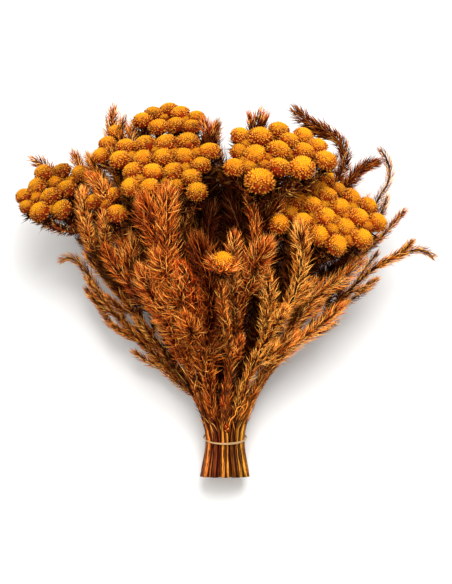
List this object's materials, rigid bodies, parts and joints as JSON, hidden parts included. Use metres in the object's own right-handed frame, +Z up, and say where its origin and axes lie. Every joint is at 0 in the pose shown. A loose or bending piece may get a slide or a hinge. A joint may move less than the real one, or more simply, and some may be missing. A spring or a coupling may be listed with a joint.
{
  "type": "dried brunia bunch",
  "caption": "Fan-shaped bunch of dried brunia: needle-leaved woody stems and button-like ochre flower heads, bound near the cut ends with a thin elastic band and lying on its back.",
  "frame": {"origin": "middle of the bunch's outline on the surface it lies on", "axes": "+Z up from the surface, +Y from the cut ends towards the flower heads, +X across the spread of the bunch"},
  "size_m": [0.2734, 0.2468, 0.1358],
  "materials": {
    "leafy_gold": "dry matt golden needles on a brown twig",
    "leafy_orange": "dry matt orange-brown needles on a brown twig",
    "leafy_rust": "dry matt rust-brown needles on a brown twig",
    "leafy_olive": "dry matt olive-brown needles on a brown twig",
    "flower_heads": "matt ochre, densely packed dry florets",
    "elastic_band": "satin light tan"
  },
  "bodies": {
    "root": {"tie_band": "elastic_band", "stem_right_curled": "leafy_gold", "stem_right_orange": "leafy_orange", "stem_front_right": "leafy_orange", "stem_front": "leafy_orange", "stem_front_left": "leafy_gold", "stem_left_rosette": "leafy_orange", "stem_far_left": "leafy_olive", "stem_left_low": "leafy_olive", "stem_rear_left": "leafy_rust", "stem_rear": "leafy_olive", "stem_rear_right": "leafy_rust", "stem_right_tall": "leafy_gold", "stem_right_flowering": "leafy_orange", "stem_front_flowering": "leafy_rust", "stem_mid_left_flowering": "leafy_orange", "stem_top_left": "leafy_gold", "stem_back_left": "leafy_olive", "stem_right_hook": "leafy_rust", "stem_centre": "leafy_orange", "heads_top_left": "flower_heads", "heads_left_small": "flower_heads", "heads_far_left": "flower_heads", "heads_mid_left": "flower_heads", "heads_back_left": "flower_heads", "heads_right_centre": "flower_heads", "heads_right_lower": "flower_heads", "heads_front_small": "flower_heads", "heads_rear_left": "flower_heads", "heads_rear": "flower_heads", "heads_rear_right": "flower_heads"}
  },
  "joints": []
}
